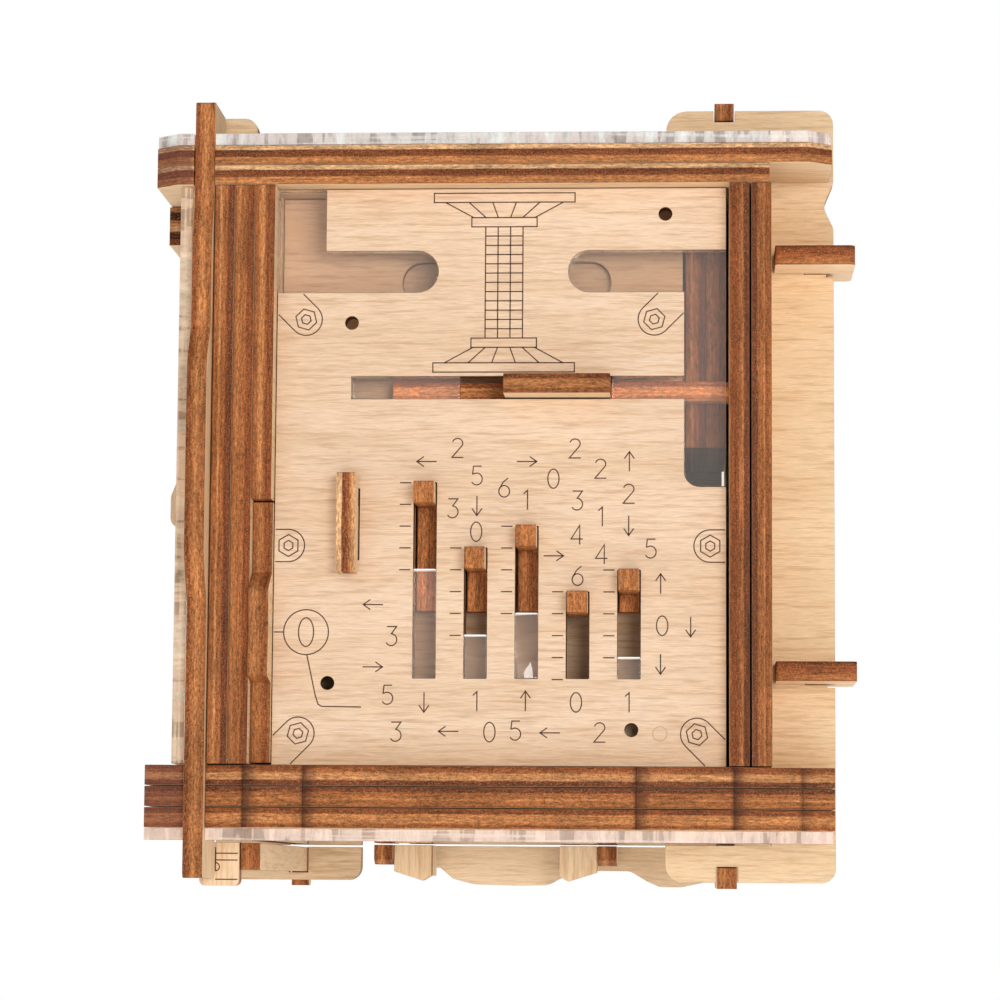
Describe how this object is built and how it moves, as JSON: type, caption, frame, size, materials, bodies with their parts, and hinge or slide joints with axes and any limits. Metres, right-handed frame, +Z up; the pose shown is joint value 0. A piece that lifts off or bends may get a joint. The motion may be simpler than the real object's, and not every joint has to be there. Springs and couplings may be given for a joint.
{
  "type": "wooden puzzle box",
  "caption": "Laser-cut plywood puzzle box with clear windows, sliding pegs, a bolt, a pull tab, a side latch, side shelves and a rear drawer.",
  "frame": {"origin": "on the surface the box stands on, under the centre of its overall size", "axes": "+Z up, the puzzle face looks along -Y, +X to the right of someone facing it"},
  "size_m": [0.1352, 0.132, 0.154],
  "materials": {
    "birch": "pale birch face veneer, satin, fine horizontal grain",
    "ply_edge": "laser-cut plywood, burnt brown striped edges with pale faces",
    "acrylic": "clear polished cast sheet with bright cut edges"
  },
  "bodies": {
    "root": {"back_panel": "birch", "bolt_slot_insert": "acrylic", "bottom_cover_sheet": "acrylic", "bottom_left_lug": "birch", "bottom_left_rail": "ply_edge", "bottom_plate_lower": "ply_edge", "bottom_plate_middle": "ply_edge", "bottom_plate_upper": "ply_edge", "bottom_right_rail": "ply_edge", "bottom_skirt": "birch", "front_panel": "birch", "inner_plate": "birch", "inner_spacer_left": "ply_edge", "inner_spacer_right": "ply_edge", "left_block": "ply_edge", "left_bracket_rear": "birch", "left_clip_centre": "birch", "left_clip_inner_cheek": "ply_edge", "left_clip_outer_cheek": "ply_edge", "left_cover_sheet": "acrylic", "left_upright_front": "ply_edge", "left_upright_rear": "ply_edge", "left_wall_inner": "ply_edge", "left_wall_middle": "ply_edge", "left_wall_outer": "ply_edge", "right_bracket_front": "birch", "right_bracket_rear": "birch", "right_clip_centre": "birch", "right_clip_inner_cheek": "ply_edge", "right_clip_outer_cheek": "ply_edge", "right_shelf_lower": "ply_edge", "right_shelf_upper": "ply_edge", "right_wall_inner": "ply_edge", "right_wall_outer": "ply_edge", "slider_guide": "birch", "slot_insert_1": "acrylic", "slot_insert_2": "acrylic", "slot_insert_3": "acrylic", "slot_insert_5": "acrylic", "top_cover_sheet": "acrylic", "top_left_lug": "birch", "top_plate_inner": "ply_edge", "top_plate_outer": "ply_edge", "top_right_rail": "ply_edge", "window_insert_left": "acrylic", "window_insert_right": "acrylic"},
    "slider_1": {"slider_1": "ply_edge"},
    "slider_2": {"slider_2": "ply_edge"},
    "slider_3": {"slider_3": "ply_edge"},
    "slider_4": {"slider_4": "ply_edge"},
    "slider_5": {"slider_5": "ply_edge"},
    "bolt": {"bolt_slider": "ply_edge"},
    "pull": {"pull_tab": "ply_edge"},
    "latch": {"left_latch": "ply_edge"},
    "finger_tab": {"left_finger_tab": "birch"},
    "drawer": {"drawer_back": "ply_edge", "drawer_floor": "birch", "drawer_front": "birch", "drawer_side_left": "ply_edge", "drawer_side_right": "ply_edge"}
  },
  "joints": [
    {"name": "slider_1_slide", "type": "slide", "parent": "root", "child": "slider_1", "axis": [0, 0, -1], "range_m": [0, 0.012]},
    {"name": "slider_2_slide", "type": "slide", "parent": "root", "child": "slider_2", "axis": [0, 0, -1], "range_m": [0, 0.012]},
    {"name": "slider_3_slide", "type": "slide", "parent": "root", "child": "slider_3", "axis": [0, 0, -1], "range_m": [0, 0.012]},
    {"name": "slider_4_slide", "type": "slide", "parent": "root", "child": "slider_4", "axis": [0, 0, -1], "range_m": [0, 0.012]},
    {"name": "slider_5_slide", "type": "slide", "parent": "root", "child": "slider_5", "axis": [0, 0, -1], "range_m": [0, 0.012]},
    {"name": "bolt_slide", "type": "slide", "parent": "root", "child": "bolt", "axis": [-1, 0, 0], "range_m": [0, 0.0084]},
    {"name": "pull_tab_slide", "type": "slide", "parent": "root", "child": "pull", "axis": [0, -1, 0], "range_m": [0, 0.006]},
    {"name": "latch_slide", "type": "slide", "parent": "root", "child": "latch", "axis": [0, -1, 0], "range_m": [0, 0.012]},
    {"name": "finger_tab_slide", "type": "slide", "parent": "root", "child": "finger_tab", "axis": [0, 0, 1], "range_m": [0, 0.008]},
    {"name": "drawer_slide", "type": "slide", "parent": "root", "child": "drawer", "axis": [0, 1, 0], "range_m": [0, 0.045]}
  ]
}
